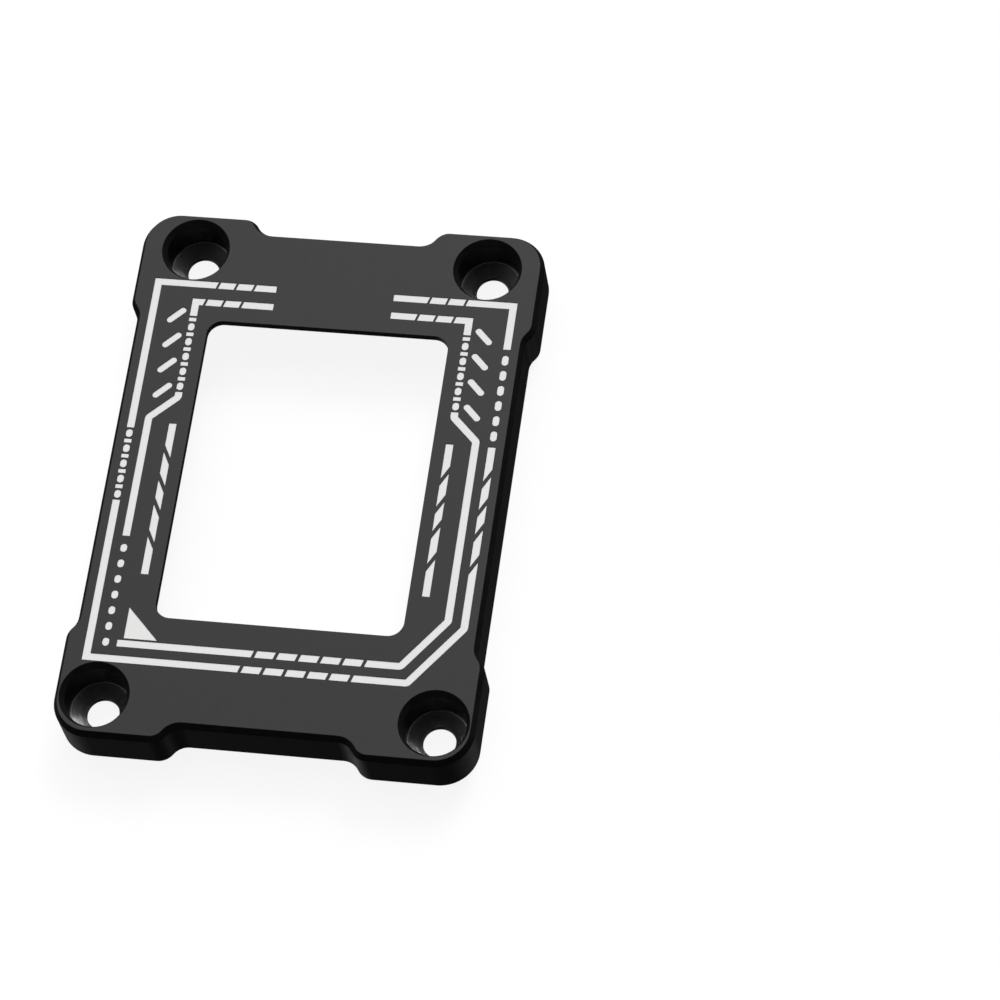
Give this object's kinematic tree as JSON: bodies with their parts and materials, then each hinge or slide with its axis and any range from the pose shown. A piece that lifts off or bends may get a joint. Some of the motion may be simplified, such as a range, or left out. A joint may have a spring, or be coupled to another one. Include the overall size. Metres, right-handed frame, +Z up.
{
  "type": "cpu socket retention frame",
  "caption": "Rectangular milled frame that holds a processor in its socket: stepped outline, wide window with a thin pressing lip, countersunk screw bores at the corners.",
  "frame": {"origin": "middle of the underside, on the plane that the frame lies on", "axes": "+X to the right, +Y to the rear, where the screw holes stand closer together, +Z up out of the top face"},
  "size_m": [0.0506, 0.071, 0.0064],
  "materials": {
    "black_anodised": "fine matt bead-blasted surface, black anodised, with pale laser-marked line trim on the top face"
  },
  "bodies": {
    "root": {"retention_frame": "black_anodised"}
  },
  "joints": []
}
